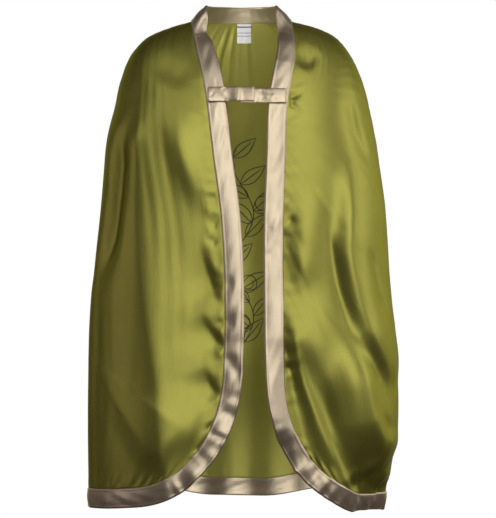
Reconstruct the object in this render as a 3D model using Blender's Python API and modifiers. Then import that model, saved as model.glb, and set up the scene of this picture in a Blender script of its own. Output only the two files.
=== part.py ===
"""A child's satin cape, worn form with no wearer, built as the pieces that are cut and sewn.

The cloth body is one flared panel with rounded front corners. A folded band finishes its neck, its two
front edges and its hem, two closure tabs meet across the chest, and a small label hangs inside the back neck.
Metres, +Z up, the front faces -Y. The origin is the middle of the neck, level with the shoulder seam points.
"""

import math
from collections import namedtuple

import bmesh
import bpy
import numpy as np
from mathutils import Vector

# Walls and seams
BODY_WALL = 0.0015
BAND_WALL = 0.0024
TAB_WALL = 0.0020
LABEL_WALL = 0.0010
SEAM_GAP = 0.0003
BAND_WIDTH = 0.025

# The body's rings, from the neck seam down to the hem seam. Heights are at the side, the centre back and the
# front edge. left and right are half widths, back and front are depths, the edges are the front edges' distance
# from the middle, and turn is the angle that the front quarter of the ring sweeps, in degrees.
Ring = namedtuple("Ring", "side_z back_z front_z left right back front left_edge right_edge turn")
RINGS = (
    Ring(0.000, 0.006, -0.025, 0.0705, 0.0660, 0.054, 0.044, 0.0665, 0.0690, 50),
    Ring(-0.010, -0.018, -0.050, 0.1040, 0.1030, 0.066, 0.066, 0.0610, 0.0700, 66),
    Ring(-0.024, -0.042, -0.078, 0.1340, 0.1295, 0.079, 0.085, 0.0540, 0.0655, 78),
    Ring(-0.047, -0.070, -0.108, 0.1545, 0.1480, 0.092, 0.098, 0.0485, 0.0600, 86),
    Ring(-0.082, -0.106, -0.140, 0.1685, 0.1640, 0.104, 0.107, 0.0445, 0.0570, 90),
    Ring(-0.130, -0.153, -0.182, 0.1775, 0.1760, 0.114, 0.113, 0.0395, 0.0558, 90),
    Ring(-0.246, -0.262, -0.276, 0.1870, 0.1925, 0.128, 0.122, 0.0275, 0.0525, 90),
    Ring(-0.384, -0.394, -0.394, 0.2000, 0.2030, 0.142, 0.132, 0.0226, 0.0525, 90),
    Ring(-0.516, -0.520, -0.515, 0.2040, 0.2120, 0.152, 0.141, 0.0255, 0.0540, 90),
    Ring(-0.642, -0.643, -0.629, 0.2035, 0.2010, 0.158, 0.147, 0.0270, 0.0550, 90),
)
# The fronts' plan is a power curve: 2 is round, more is squarer. It grows from round at the shoulders.
FRONT_SQUARE = 2.4
SQUARE_FROM = 0.10
SQUARE_RUN = 0.25

HEM_WAVE = 0.009  # the hem dips this much at the back and the sides, and rises as much between them
HEM_RISE = 0.009  # the hem is this much higher at the left side

# The front corners are rounded by a quarter of an ellipse this wide and high.
Corner = namedtuple("Corner", "width height")
LEFT_CORNER = Corner(0.124, 0.155)
RIGHT_CORNER = Corner(0.117, 0.142)
CORNER_SPLIT = math.radians(45)  # where the front band hands over to the hem band on that arc

# The largest folds. start and end are shares of the length, angles run from -90 at the right front edge through
# 0 at the right side, 90 at the back and 180 at the left side to 270 at the left front edge. A fold that ends
# at 1 is at its fullest at the hem. lift is outward, and negative for a trough.
Fold = namedtuple("Fold", "start end start_angle end_angle half_width lift")
FOLDS = (
    Fold(0.12, 1.00, 219, 211, 11, -0.008),
    Fold(0.15, 1.00, 238, 250, 14, 0.008),
    Fold(0.28, 0.66, 242, 264, 11, -0.007),
    Fold(0.14, 0.44, -27, -4, 9, -0.005),
    Fold(0.45, 1.00, -80, -46, 12, 0.007),
    Fold(0.55, 1.00, -66, -35, 11, -0.006),
    Fold(0.34, 1.00, -60, -25, 12, 0.007),
    Fold(0.30, 0.92, -50, -14, 12, -0.008),
    Fold(0.45, 1.00, -34, -5, 12, 0.005),
    Fold(0.40, 1.00, 12, 9, 12, -0.006),
    Fold(0.30, 1.00, 27, 25, 13, 0.009),
    Fold(0.26, 1.00, 43, 41, 13, -0.009),
    Fold(0.22, 1.00, 58, 58, 13, 0.010),
    Fold(0.30, 1.00, 74, 75, 13, -0.008),
    Fold(0.20, 1.00, 91, 92, 14, 0.009),
    Fold(0.26, 1.00, 107, 109, 13, -0.009),
    Fold(0.30, 1.00, 124, 126, 14, 0.011),
    Fold(0.24, 1.00, 141, 143, 13, -0.009),
    Fold(0.34, 1.00, 157, 159, 12, 0.008),
    Fold(0.40, 1.00, 173, 175, 12, -0.005),
    Fold(0.30, 1.00, 193, 192, 12, 0.006),
)

# Collar: how far in the neck band leans over its width, how wide it is, and the way it stands where each end
# turns into a front band.
LEAN = 0.69
NECK_WIDTH_SIDE = 0.031
NECK_WIDTH_BACK = 0.0255
LEFT_COLLAR_WAY = (0.74, 0.42, 0.45)
RIGHT_COLLAR_WAY = (-0.86, 0.30, 0.34)
COLLAR_BLEND = 0.16  # share of a band's length over which it turns from collar to flat front

# Closure tabs across the chest, and the label
LEFT_TAB_Z = -0.109
RIGHT_TAB_Z = -0.111
TAB_HEIGHT = 0.020
TAB_INSET = 0.002  # how far inside the band seam a tab starts
LEFT_TAB_END = 0.0155
RIGHT_TAB_END = -0.0040
TAB_CLEAR = 0.0008  # between a tab and what it lies on, on the slope of the chest
TAB_LAP_RUN = 0.016  # the upper tab rises onto the lower one over this length
LABEL_X = 0.0015
LABEL_WIDTH = 0.020
LABEL_HEIGHT = 0.026
LABEL_TOP = 0.0015  # below the neck seam
LABEL_SLOPE = 1.25  # the label's level distance from the sloping cloth, over its distance square to it

# Mesh cells along and across each piece. The body's are closer at the front edges and at the neck.
# On the right front its columns slant, in degrees, with the long folds there.
COLUMN_EASE = 0.35
ROW_EASE = 0.4
SLANT = 16
SLANT_FROM = 0.72
BODY_CELLS = (104, 25)
FRONT_BAND_CELLS = (25, 2)
HEM_BAND_CELLS = (104, 2)
NECK_BAND_CELLS = (24, 2)
TAB_CELLS = (14, 2)
LABEL_CELLS = (4, 4)

GREEN_SATIN = ("green_satin", (0.215, 0.205, 0.035), 0.38)
GOLD_SATIN = ("gold_satin", (0.62, 0.50, 0.33), 0.35)
LABEL_WHITE = ("label_white", (0.85, 0.84, 0.86), 0.70)


def smoothstep(x):
    x = min(1.0, max(0.0, x))
    return x * x * (3 - 2 * x)


def mix(a, b, share):
    return a + (b - a) * share


# The drape: a point of the cloth for an angle round the figure and a share of the length

SIDE_PATH = np.array([(ring.left, ring.side_z) for ring in RINGS])
SHARES = np.concatenate([[0.0], np.cumsum(np.linalg.norm(np.diff(SIDE_PATH, axis=0), axis=1))])
SHARES /= SHARES[-1]
TABLE = np.array(RINGS)
SLOPES = np.gradient(TABLE, SHARES, axis=0)


def ring_at(share):
    """The ring at a share of the length, on a smooth curve through the table, and straight on past its ends."""
    inside = min(1.0, max(0.0, share))
    i = min(len(SHARES) - 2, int(np.searchsorted(SHARES, inside, side="right")) - 1)
    span = SHARES[i + 1] - SHARES[i]
    t = (inside - SHARES[i]) / span
    value = (
        (1 + 2 * t) * (1 - t) ** 2 * TABLE[i]
        + t * (1 - t) ** 2 * span * SLOPES[i]
        + t * t * (3 - 2 * t) * TABLE[i + 1]
        + t * t * (t - 1) * span * SLOPES[i + 1]
    )
    return Ring(*(value + (share - inside) * SLOPES[-1]))


def fold_lift(angle, share):
    """How far the folds move the cloth out, at an angle and a share of the length."""
    total = 0.0
    for fold in FOLDS:
        run = (share - fold.start) / (fold.end - fold.start)
        if run <= 0:
            continue
        middle = mix(fold.start_angle, fold.end_angle, run)
        off = (angle - middle) / fold.half_width
        if abs(off) >= 1:
            continue
        strength = smoothstep(run / 0.6)
        if fold.end < 1:
            strength *= 1 - smoothstep((run - 0.6) / 0.4)
        total += fold.lift * strength * math.cos(off * math.pi / 2) ** 2
    return total


def hem_shift(angle, past_side):
    """How far the hem is above its ring's own height."""
    wave = math.cos(math.radians(4 * angle)) if past_side <= 0 else 1 - past_side / 90
    rise = smoothstep((angle - 120) / 60) * (1 - smoothstep((angle - 225) / 30))
    return HEM_RISE * rise - HEM_WAVE * wave


def drape(angle, share):
    """The point of the cloth's middle surface at an angle, in degrees, and a share of the length."""
    ring = ring_at(share)
    on_left = angle > 90
    width = ring.left if on_left else ring.right
    past_side = angle - 180 if on_left else -angle
    if past_side <= 0:
        turn = math.radians(angle)
        x = width * math.cos(turn)
        y = ring.back * math.sin(turn)
        z = mix(ring.side_z, ring.back_z, math.sin(turn) ** 2)
        out = Vector((math.cos(turn) * ring.back, math.sin(turn) * width, 0))
    else:
        edge = ring.left_edge if on_left else ring.right_edge
        end = math.radians(ring.turn)
        turn = end * past_side / 90
        middle = (edge - width * math.cos(end)) / (1 - math.cos(end))
        reach = width - middle
        power = mix(2, FRONT_SQUARE, smoothstep((share - SQUARE_FROM) / SQUARE_RUN))
        sideways = abs(math.cos(turn))
        forward = (1 - sideways**power) ** (1 / power)
        depth = ring.front / (1 - abs(math.cos(end)) ** power) ** (1 / power)
        side = -1 if on_left else 1
        x = side * (middle + reach * math.cos(turn))
        y = -depth * forward
        z = mix(ring.side_z, ring.front_z, (math.sin(turn) / math.sin(end)) ** 2)
        out = Vector((side * sideways ** (power - 1) * depth, -(forward ** (power - 1)) * reach, 0))
    z += hem_shift(angle, past_side) * share**3
    return Vector((x, y, z)) + out.normalized() * fold_lift(angle, share)


# The body panel's outline in angle and share

FINE_SHARES = np.linspace(0, 1, 400)
FRONT_HEIGHTS = np.array([ring_at(share).front_z for share in FINE_SHARES])


def share_at_front(z):
    return float(np.interp(-z, -FRONT_HEIGHTS, FINE_SHARES))


def angle_from_edge(offset, share, left):
    """The angle of the point that lies offset further out than the front edge."""
    ring = ring_at(share)
    edge, width = (ring.left_edge, ring.left) if left else (ring.right_edge, ring.right)
    past_side = math.degrees(math.acos(min(1.0, offset / (width - edge))))
    return 180 + past_side if left else -past_side


def corner_of(left):
    return LEFT_CORNER if left else RIGHT_CORNER


def corner_point(turn, left):
    """(angle, share) on a rounded corner, for turn 0 at the front edge to a quarter turn at the hem."""
    corner = corner_of(left)
    top = RINGS[-1].front_z + corner.height
    share = share_at_front(top - corner.height * math.sin(turn))
    return angle_from_edge(corner.width * (1 - math.cos(turn)), share, left), share


def front_edge(v, left):
    """(angle, share) on a front edge, from the neck at v 0 to the middle of the rounded corner at v 1."""
    corner = corner_of(left)
    share = v * corner_point(CORNER_SPLIT, left)[1]
    down = (RINGS[-1].front_z + corner.height - ring_at(share).front_z) / corner.height
    if down <= 0:
        return (270 if left else -90), share
    return angle_from_edge(corner.width * (1 - math.sqrt(max(0.0, 1 - down * down))), share, left), share


def hem_shares(left):
    """Angles and shares along the hem half of a rounded corner."""
    turns = np.linspace(CORNER_SPLIT, math.pi / 2, 40)
    points = np.array([corner_point(turn, left) for turn in turns])
    order = np.argsort(points[:, 0])
    return points[order, 0], points[order, 1]


LEFT_HEM = hem_shares(True)
RIGHT_HEM = hem_shares(False)


def hem_share(angle):
    if angle > 180:
        return float(np.interp(angle, *LEFT_HEM))
    if angle < 0:
        return float(np.interp(angle, *RIGHT_HEM))
    return 1.0


def column_angle(across, down):
    slant = SLANT * math.sin(math.pi * max(0.0, across - SLANT_FROM) / (1 - SLANT_FROM)) ** 2
    return mix(front_edge(down, True)[0], front_edge(down, False)[0], across) + slant * (2 * down - 1)


def body_point(u, v):
    """The panel's middle surface, u from the left front edge to the right one and v from the neck to the hem."""
    across = u - COLUMN_EASE * math.sin(2 * math.pi * u) / (2 * math.pi)
    down = v * (1 - ROW_EASE + ROW_EASE * v)
    return drape(column_angle(across, down), down * hem_share(column_angle(across, 1)))


# Bands: strips that start at the panel's edge and run on from it

STEP = 0.004  # share of an edge on each side of a point that gives the edge's direction there
INSIDE_FRONT = 0.012  # how far inside an edge, as a share of the panel, the direction away from it is taken
INSIDE_HEM = 0.035
INSIDE_NECK = 0.03
FIRST_ROW = 0.02  # the row below the neck that a front band takes its direction from, at the earliest
END_TRIM = 0.0005  # share of a front edge left free where one band meets the next
CORNER_CLEAR = 0.0008  # more room beside a rounded corner, where the facets cut across the seam
CORNER_BLEND = 0.05  # share of the hem over which that room fades


def edge_frame(edge, inner, at):
    """A point of an edge, and the direction away from the cloth there."""
    point = edge(at)
    along = (edge(min(1, at + STEP)) - edge(max(0, at - STEP))).normalized()
    away = point - inner(at)
    away -= along * away.dot(along)
    return point, away.normalized()


def collar_way(left):
    return Vector(LEFT_COLLAR_WAY if left else RIGHT_COLLAR_WAY).normalized()


def front_band_point(left):
    column = 0 if left else 1
    inside = INSIDE_FRONT if left else 1 - INSIDE_FRONT

    def edge(v):
        return body_point(column, v)

    def inner(v):
        return body_point(inside, max(v, FIRST_ROW))

    def point(u, v):
        at, flat = edge_frame(edge, inner, min(1 - END_TRIM, max(END_TRIM, u)))
        away = collar_way(left).lerp(flat, smoothstep(u / COLLAR_BLEND)).normalized()
        clear = (BODY_WALL + BAND_WALL) / 2 * away.cross(flat).length
        return at + away * mix(SEAM_GAP + clear, BAND_WIDTH, v)

    return point


def hem_band_point(u, v):
    at, away = edge_frame(lambda a: body_point(a, 1), lambda a: body_point(a, 1 - INSIDE_HEM), u)
    clear = CORNER_CLEAR * (1 - smoothstep(min(u, 1 - u) / CORNER_BLEND))
    return at + away * mix(SEAM_GAP + clear, BAND_WIDTH, v)


def neck_band_point(u, v):
    around = min(1 - END_TRIM, max(END_TRIM, u))
    at = body_point(around, 0)
    to_middle = Vector((-at.x, -at.y, 0)).normalized()
    stand = to_middle * LEAN + Vector((0, 0, math.sqrt(1 - LEAN * LEAN)))
    from_end = smoothstep(min(around, 1 - around) / COLLAR_BLEND)
    stand = collar_way(around < 0.5).lerp(stand, from_end).normalized()
    width = mix(BAND_WIDTH, mix(NECK_WIDTH_BACK, NECK_WIDTH_SIDE, to_middle.x**2), from_end)
    down = (body_point(around, INSIDE_NECK) - at).normalized()
    clear = (BODY_WALL + BAND_WALL) / 2 * stand.cross(down).length
    return at + stand * mix(SEAM_GAP + clear, width, v)


# Tabs and label: what lies on the cloth, made from its points and moved out

CHEST_SPAN = np.linspace(0.08, 0.32, 25)  # the stretch of a front band, as shares, that the closure lies on
CHEST_LINES = [[front_band_point(left)(u, 1) for u in CHEST_SPAN] for left in (True, False)]


def chest_y(z):
    """Depth of the front at a height near the closure, from the free edge of the band that lies further out."""
    return min(float(np.interp(-z, [-p.z for p in line], [p.y for p in line])) for line in CHEST_LINES)


def tab_point(left):
    middle = LEFT_TAB_Z if left else RIGHT_TAB_Z
    ring = ring_at(share_at_front(middle))
    start = -ring.left_edge + TAB_INSET if left else ring.right_edge - TAB_INSET
    end = LEFT_TAB_END if left else RIGHT_TAB_END
    on_band = BAND_WALL / 2 + TAB_WALL / 2 + TAB_CLEAR

    def point(u, v):
        x = mix(start, end, u)
        lap = smoothstep((x - RIGHT_TAB_END + TAB_LAP_RUN) / (TAB_LAP_RUN - 0.002)) if left else 0.0
        z = middle + mix(TAB_HEIGHT, -TAB_HEIGHT, v) / 2
        return Vector((x, chest_y(z) - on_band - lap * (TAB_WALL + TAB_CLEAR), z))

    return point


def label_point(u, v):
    x = LABEL_X + mix(-LABEL_WIDTH, LABEL_WIDTH, u) / 2
    ring = ring_at(0)
    angle = math.degrees(math.acos(x / (ring.left if x < 0 else ring.right)))
    z = ring.back_z - LABEL_TOP - LABEL_HEIGHT * v
    heights = [drape(angle, share).z for share in FINE_SHARES[:60]]
    share = float(np.interp(-z, -np.array(heights), FINE_SHARES[:60]))
    on_cloth = drape(angle, share)
    away = ((BODY_WALL + LABEL_WALL) / 2 + SEAM_GAP) * LABEL_SLOPE
    return Vector((x, on_cloth.y - away, z))


# Building the objects


def material(name, colour, roughness):
    made = bpy.data.materials.new(name)
    made.use_nodes = True
    shader = made.node_tree.nodes["Principled BSDF"]
    shader.inputs["Base Color"].default_value = (*colour, 1)
    shader.inputs["Roughness"].default_value = roughness
    shader.inputs["Metallic"].default_value = 0.0
    return made


def cloth(name, point, cells, wall, finish, collection):
    """A wall of cloth on the surface that point(u, v) gives, as a grid with that many cells."""
    bm = bmesh.new()
    bmesh.ops.create_grid(bm, x_segments=cells[0], y_segments=cells[1], size=0.5)
    for vertex in bm.verts:
        vertex.co = point(vertex.co.x + 0.5, vertex.co.y + 0.5)
    bmesh.ops.recalc_face_normals(bm, faces=bm.faces)
    mesh = bpy.data.meshes.new(name)
    bm.to_mesh(mesh)
    bm.free()
    mesh.shade_smooth()
    mesh.materials.append(finish)
    made = bpy.data.objects.new(name, mesh)
    collection.objects.link(made)
    thicken = made.modifiers.new("wall", "SOLIDIFY")
    thicken.thickness = wall
    thicken.offset = 0
    thicken.use_even_offset = True
    thicken.use_quality_normals = True
    return made


def main():
    for old in list(bpy.data.objects):
        bpy.data.objects.remove(old)
    cape = bpy.data.collections.new("cape")
    bpy.context.scene.collection.children.link(cape)
    green = material(*GREEN_SATIN)
    gold = material(*GOLD_SATIN)
    white = material(*LABEL_WHITE)
    cloth("cape_body", body_point, BODY_CELLS, BODY_WALL, green, cape)
    cloth("front_band_left", front_band_point(True), FRONT_BAND_CELLS, BAND_WALL, gold, cape)
    cloth("front_band_right", front_band_point(False), FRONT_BAND_CELLS, BAND_WALL, gold, cape)
    cloth("hem_band", hem_band_point, HEM_BAND_CELLS, BAND_WALL, gold, cape)
    cloth("neck_band", neck_band_point, NECK_BAND_CELLS, BAND_WALL, gold, cape)
    cloth("closure_tab_left", tab_point(True), TAB_CELLS, TAB_WALL, gold, cape)
    cloth("closure_tab_right", tab_point(False), TAB_CELLS, TAB_WALL, gold, cape)
    cloth("neck_label", label_point, LABEL_CELLS, LABEL_WALL, white, cape)


main()
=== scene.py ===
"""Looks of the satin cape: creased cloth, folded band, tabs, label, sewing, print, camera and light."""

import math
from collections import namedtuple

import bpy
import numpy as np
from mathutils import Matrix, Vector


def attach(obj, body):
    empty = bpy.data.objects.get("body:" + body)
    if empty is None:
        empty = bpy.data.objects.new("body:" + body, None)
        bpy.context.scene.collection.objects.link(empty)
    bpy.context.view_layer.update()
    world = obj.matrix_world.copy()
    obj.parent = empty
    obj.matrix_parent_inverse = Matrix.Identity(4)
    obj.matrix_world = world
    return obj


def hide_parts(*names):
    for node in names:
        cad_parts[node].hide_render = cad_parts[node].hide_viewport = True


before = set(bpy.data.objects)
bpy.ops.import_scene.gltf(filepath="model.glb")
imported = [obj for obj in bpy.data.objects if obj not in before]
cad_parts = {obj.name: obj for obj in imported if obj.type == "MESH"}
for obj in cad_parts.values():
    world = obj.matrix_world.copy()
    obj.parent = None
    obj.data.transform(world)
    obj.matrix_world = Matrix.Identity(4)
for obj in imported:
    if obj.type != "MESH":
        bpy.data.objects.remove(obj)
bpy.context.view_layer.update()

SEED = 7
MM = 1000  # millimetres in a metre
FEW_WAVES = 3  # in the sum that makes a plainer ripple

# Sizes in metres. The rings, corners, hem and collar are the solids'. The walls are not.
BODY_WALL = 0.0007
BAND_WALL = 0.0026
BAND_WIDTH = 0.025
BAND_TUCK = 0.0015  # how far the band covers the edge of the cloth that it binds

Ring = namedtuple("Ring", "side_z back_z front_z left right back front left_edge right_edge turn")
RINGS = (
    Ring(0.000, 0.006, -0.025, 0.0705, 0.0660, 0.054, 0.044, 0.0665, 0.0690, 50),
    Ring(-0.010, -0.018, -0.050, 0.1040, 0.1030, 0.066, 0.066, 0.0610, 0.0700, 66),
    Ring(-0.024, -0.042, -0.078, 0.1340, 0.1295, 0.079, 0.085, 0.0540, 0.0655, 78),
    Ring(-0.047, -0.070, -0.108, 0.1545, 0.1480, 0.092, 0.098, 0.0485, 0.0600, 86),
    Ring(-0.082, -0.106, -0.140, 0.1685, 0.1640, 0.104, 0.107, 0.0445, 0.0570, 90),
    Ring(-0.130, -0.153, -0.182, 0.1775, 0.1760, 0.114, 0.113, 0.0395, 0.0558, 90),
    Ring(-0.246, -0.262, -0.276, 0.1870, 0.1925, 0.128, 0.122, 0.0275, 0.0525, 90),
    Ring(-0.384, -0.394, -0.394, 0.2000, 0.2030, 0.142, 0.132, 0.0226, 0.0525, 90),
    Ring(-0.516, -0.520, -0.515, 0.2040, 0.2120, 0.152, 0.141, 0.0255, 0.0540, 90),
    Ring(-0.642, -0.643, -0.629, 0.2035, 0.2010, 0.158, 0.147, 0.0270, 0.0550, 90),
)
FRONT_SQUARE = 2.4  # power of the fronts' plan: 2 is round, more is squarer
SQUARE_FROM = 0.10  # share of the length where that power starts to grow, and over which it does
SQUARE_RUN = 0.25
HEM_WAVE = 0.009
HEM_RISE = 0.009
HEM_WAVES = 4  # in a full turn
HEM_POWER = 3  # the larger, the nearer to the hem its wave comes in
RISE_FROM = 120  # where the hem's rise at the left starts and fades, and over how many degrees
RISE_RUN = 60
FALL_FROM = 225
FALL_RUN = 30
Corner = namedtuple("Corner", "width height")
LEFT_CORNER = Corner(0.124, 0.155)
RIGHT_CORNER = Corner(0.117, 0.142)
CORNER_SPLIT = math.radians(45)
CORNER_STEPS = 60
FINE_STEPS = 400

# Long folds at the sides and back, by angle and share of the length
FOLD_GROWTH = 0.6  # share of a fold's run over which it grows
Fold = namedtuple("Fold", "start end start_angle end_angle half_width lift")
FOLDS = (
    Fold(0.40, 1.00, 12, 9, 12, -0.006),
    Fold(0.30, 1.00, 27, 25, 13, 0.009),
    Fold(0.26, 1.00, 43, 41, 13, -0.009),
    Fold(0.22, 1.00, 58, 58, 13, 0.010),
    Fold(0.30, 1.00, 74, 75, 13, -0.008),
    Fold(0.20, 1.00, 91, 92, 14, 0.009),
    Fold(0.26, 1.00, 107, 109, 13, -0.009),
    Fold(0.30, 1.00, 124, 126, 14, 0.011),
    Fold(0.24, 1.00, 141, 143, 13, -0.009),
    Fold(0.34, 1.00, 157, 159, 12, 0.008),
    Fold(0.40, 1.00, 173, 175, 12, -0.005),
    Fold(0.30, 1.00, 193, 192, 12, 0.006),
)

# Creases, in millimetres: the path as (x, z), the half widths on its two sides, each as one value or as those
# at its start and end, and how far the cloth stands out, or in below 0. For a path that runs down, left is
# the viewer's left. A crease fades in and out over shares of its path. A power below 2 sharpens it.
CREASE_REACH = 3  # half widths from its path at which a crease ends
Crease = namedtuple("Crease", "path left right lift fade_in fade_out power", defaults=(0.3, 0.3, 2))
LEFT_CREASES = (
    Crease(((-139, -117), (-157, -169), (-161, -209), (-165, -249), (-171, -289), (-179, -329), (-193, -377)),
           9, 13, -12),
    Crease(((-135, -105), (-136, -170), (-135, -250), (-131, -329), (-126, -390), (-118, -448), (-110, -500),
            (-100, -600), (-90, -700)), (55, 90), (30, 42), 14, 0.15, 0.1, 1.4),
    Crease(((-95, -118), (-87, -158), (-75, -198), (-59, -232), (-46, -258), (-36, -290)),
           18, 25, 6, 0.3, 0.6),
    Crease(((-64, -290), (-55, -324), (-47, -345), (-41, -365), (-31, -389)), 34, 8, -5, 0.6, 0.25),
    Crease(((-62, -398), (-46, -421), (-22, -448)), 26, 7, -4.5, 0.6, 0.3),
    Crease(((-56, -466), (-46, -489), (-30, -514)), 26, 7, -4, 0.6, 0.3),
    Crease(((-59, -490), (-70, -526), (-82, -548), (-99, -563), (-120, -580), (-145, -595)),
           70, 28, 9, 0.4, 0.3),
    Crease(((-140, -60), (-112, -67), (-86, -79), (-62, -97)), 20, 30, -4, 0.5, 0.35),
    Crease(((-50, -277), (-42, -281), (-34, -287)), 4, 5, -1.5, 0.6, 0.2),
    Crease(((-52, -300), (-43, -304), (-34, -309)), 4, 5, -1.7, 0.6, 0.2),
)
RIGHT_CREASES = (
    Crease(((102, -44), (93, -55), (84, -66), (77, -76)), 16, 11, -5, 0.5, 0.5),
    Crease(((141, -95), (148, -132), (153, -156), (161, -179), (174, -208)), 12, 5, -3),
    Crease(((150, -165), (146, -200), (143, -230), (141, -270), (138, -310), (141, -342), (146, -369),
            (156, -408), (169, -441), (190, -476), (204, -505)), (17, 9), (45, 30), 15, 0.4, 0.25),
    Crease(((110, -270), (114, -300), (119, -329), (127, -369), (137, -408), (145, -441)), 8, 6, -2.5),
    Crease(((88, -225), (86, -270), (84, -310), (86, -350)), 24, 30, 7, 0.5, 0.5),
    Crease(((60, -271), (64, -278), (72, -286)), 5, 6, -2.2, 0.3, 0.6),
    Crease(((66, -298), (77, -326), (81, -352), (74, -380)), 13, 22, 5, 0.5, 0.5),
    Crease(((161, -309), (172, -340), (181, -377), (190, -411)), 9, 5, -3),
    Crease(((133, -410), (139, -440), (144, -465), (149, -490), (157, -529), (168, -570), (177, -598)),
           (14, 44), 17, 18, 0.55, 0.3),
    Crease(((84, -415), (92, -455), (101, -490), (115, -528), (132, -568), (152, -606), (176, -650),
            (192, -684)), 22, 30, -10, 0.45, 0.15),
    Crease(((50, -372), (66, -410), (76, -448), (87, -487), (104, -527), (121, -567), (141, -606),
            (156, -632)), (14, 18), 80, 9, 0.3, 0.12),
    Crease(((72, -425), (78, -448), (87, -485), (102, -524), (119, -566), (140, -609), (158, -640)),
           6, 14, -4.5, 0.3, 0.1),
    Crease(((58, -428), (63, -467), (69, -507), (77, -547), (89, -585), (104, -622)), 12, 18, -6, 0.3, 0.1),
    Crease(((203, -553), (180, -588), (152, -627)), 24, 13, 4),
    Crease(((250, -660), (225, -690), (190, -710), (140, -720)), 75, 60, -20, 0.15, 0.4),
    Crease(((152, -440), (167, -488), (182, -522), (196, -558)), 12, 8, 3),
    Crease(((61, -111), (69, -110), (82, -105)), 3.5, 4.5, -3.2, 0.2, 0.7),
    Crease(((61, -122), (69, -126), (82, -134)), 3.5, 4.5, -3.4, 0.2, 0.7),
)

FRONT_START = 4  # degrees behind each side where the fronts' creases begin, and over which they come in
FRONT_BLEND = 14

# Secondary creases of the sides and back, drawn at random in these ranges, in millimetres on the flat cloth
BACK_CREASES = 26
BACK_REACH = 300
BACK_TOP = (-420, -60)
BACK_LENGTH = (150, 300)
BACK_LEAN = 0.28
BACK_HALF_WIDTH = (10, 24)
BACK_LIFT = (1.5, 4.0)
BACK_BOW = 0.08  # share of its length by which a crease bows
BACK_PAST = 6  # degrees past each side where these creases end, and over which they fade
BACK_BLEND = 16

# Puckers along the seams and gathers below the neck, in metres
PUCKER = 0.0010
PUCKER_REACH = 0.008
PUCKER_WAVES = (0.013, 0.030)
PUCKER_SPELLS = (0.08, 0.2)  # waves of the unevenness along a seam
PUCKER_EVEN = 0.6
PUCKER_TOP = 0.06  # the fronts have none above this distance from the neck
HEM_PUCKER = 0.0009
GATHER = 0.0012
GATHER_REACH = 0.055
GATHER_WAVES = (0.006, 0.012)
GATHER_FROM = 15  # degrees behind each side where the gathers begin, and over which they come in
GATHER_BLEND = 40

# Low streaks that run down the cloth, in metres
STREAK = 0.00007
STREAK_WAVES = (0.012, 0.036)
STREAK_RUN = (0.30, 0.90)
STREAK_COUNT = 9
STREAK_WANDER = (0.2, 0.5)

# Collar, as in the solids
LEAN = 0.69
NECK_WIDTH_SIDE = 0.031
NECK_WIDTH_BACK = 0.0255
LEFT_COLLAR_WAY = np.array((0.74, 0.42, 0.45))
RIGHT_COLLAR_WAY = np.array((-0.86, 0.30, 0.34))
COLLAR_BLEND = 0.16  # share of the neck, and of the fronts, over which the collar turns into the band

# Turns of the band near the panel's corners, which count from 0 at the left of the neck, down and round by
# the hem: how far past its corner each lies and how far it reaches, in metres, and its degrees out, or in
# below 0
Turn = namedtuple("Turn", "corner past reach degrees")
TURNS = (
    Turn(0, 0.0, 0.014, -22),
    Turn(1, -0.022, 0.018, -8),
    Turn(2, 0.024, 0.021, -29),
    Turn(3, 0.008, 0.019, -22),
)

# Rolls of the band in degrees out, or in below 0: by height on the fronts, by x at the hem's front, in metres
LEFT_ROLL = ((-0.56, 0), (-0.50, 10), (-0.42, 10), (-0.34, 3), (-0.10, 3), (-0.05, 0))
HEM_ROLL = ((0.09, 0), (0.13, -16), (0.19, -16), (0.21, 0))
RIGHT_ROLL = ((-0.56, 0), (-0.48, 6), (-0.16, 9), (-0.10, 0))

# Section and ripples of the band, in metres, and its creases
BAND_STEPS = 22  # points on each face across the width
SECTION_POWER = 6  # of the rounding of a folded strip's edges
LIP_AT = 0.07  # share of the width, from each edge, at which a folded edge stands up, and its half width
LIP_REACH = 0.04
BAND_LIP = 0.0009
BAND_CROWN = 0.0012
BAND_RIPPLE = 0.00025
RIPPLE_WAVES = (0.030, 0.090)
RIPPLE_SLANT = 0.050
RIPPLE_FADE = 0.05  # distance from the loop's start over which the ripples fade
FRONT_Y = -0.03  # the band's creases lie in front of this
BAND_SMOOTHING = 12  # points on either side over which the band's direction is evened out
BAND_CREASES = (
    Crease(((-38, -360), (-9, -360)), 8, 8, -1.5),
    Crease(((-38, -411), (-7, -411)), 8, 8, -1.8),
    Crease(((-22, -450), (-2, -487)), 8, 8, -2.2),
    Crease(((-31, -524), (-6, -535)), 8, 8, -1.6),
    Crease(((-47, -551), (-22, -566)), 6, 6, -1.4),
    Crease(((-63, -576), (-40, -595)), 6, 6, -1.4),
    Crease(((-31, -124), (-34, -144)), 2, 2, -0.7),
    Crease(((-22, -144), (-30, -186)), 2.5, 2.5, -0.8),
    Crease(((-35, -86), (-35, -100)), 2, 2, -0.7),
    Crease(((52, -269), (37, -292)), 5, 5, 1.2),
    Crease(((49, -303), (31, -332)), 6, 6, -1.2),
)

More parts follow.
